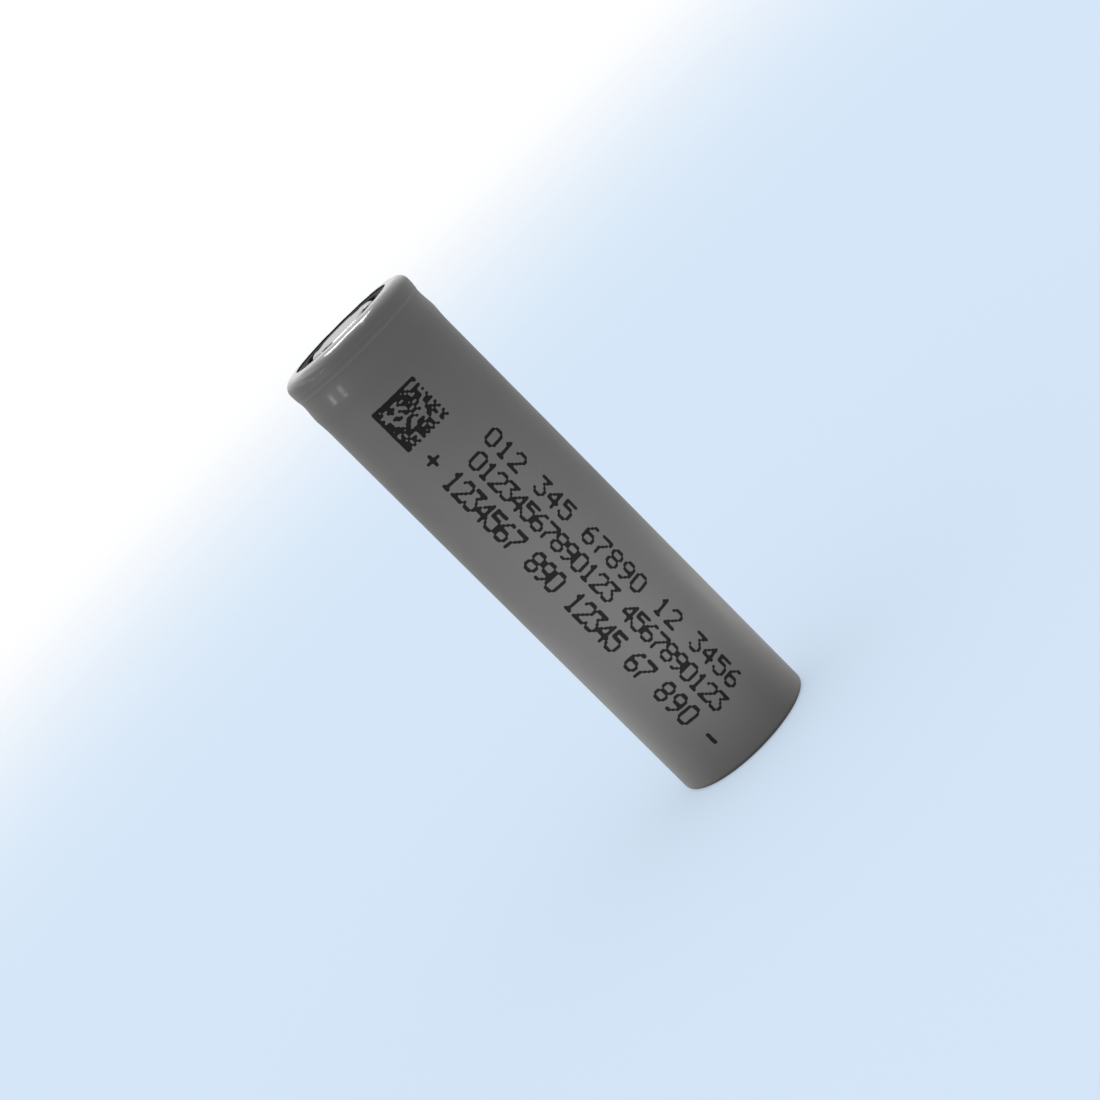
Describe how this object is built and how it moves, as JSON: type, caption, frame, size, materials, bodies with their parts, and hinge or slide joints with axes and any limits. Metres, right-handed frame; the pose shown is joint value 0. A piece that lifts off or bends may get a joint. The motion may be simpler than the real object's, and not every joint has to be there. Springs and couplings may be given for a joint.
{
  "type": "cylindrical battery cell",
  "caption": "Cylindrical flat-top battery cell in a matte grey shrink sleeve, with a steel can, crimped vented cap and a wound electrode roll inside.",
  "frame": {"origin": "centre of the bottom (negative) end, on the sleeve's lowest face", "axes": "+Z along the cell's axis from the negative end to the positive cap; +Y points away from the side that carries the printed marks"},
  "size_m": [0.0182, 0.0182, 0.0652],
  "materials": {
    "sleeve_film": "matte grey heat-shrink film",
    "insulating_board": "black insulating board",
    "can_steel": "nickel-plated, drawn",
    "cap_steel": "nickel-plated, stamped",
    "seal_polymer": "natural polymer",
    "vent_aluminium": "stamped",
    "tab_aluminium": "rolled strip",
    "tab_nickel": "rolled nickel strip",
    "insulating_disc": "pale insulating sheet",
    "cathode_coating": "calendered oxide coating on foil",
    "anode_coating": "calendered graphite coating on foil",
    "separator_film": "porous white film",
    "roll_tape": "green polyester tape",
    "tab_tape": "amber polyimide tape"
  },
  "bodies": {
    "cell": {"shrink_sleeve": "sleeve_film", "top_insulator_ring": "insulating_board", "steel_can": "can_steel", "crimp_gasket": "seal_polymer", "positive_cap": "cap_steel", "vent_disc": "vent_aluminium", "cid_insulator_ring": "seal_polymer", "cid_contact_plate": "vent_aluminium", "upper_insulator_disc": "insulating_disc", "lower_insulator_disc": "insulating_disc", "separator_inner": "separator_film", "anode_strip": "anode_coating", "separator_outer": "separator_film", "cathode_strip": "cathode_coating", "roll_tape": "roll_tape", "positive_tab": "tab_aluminium", "positive_tab_tape": "tab_tape", "negative_tab_inner": "tab_nickel", "negative_tab_outer": "tab_nickel", "negative_tab_tape": "tab_tape"},
    "vent_centre": {"vent_disc_centre": "vent_aluminium"}
  },
  "joints": [
    {"name": "current_interrupt_snap", "type": "slide", "parent": "cell", "child": "vent_centre", "axis": [0, 0, 1], "range_m": [0, 0.0004]}
  ]
}
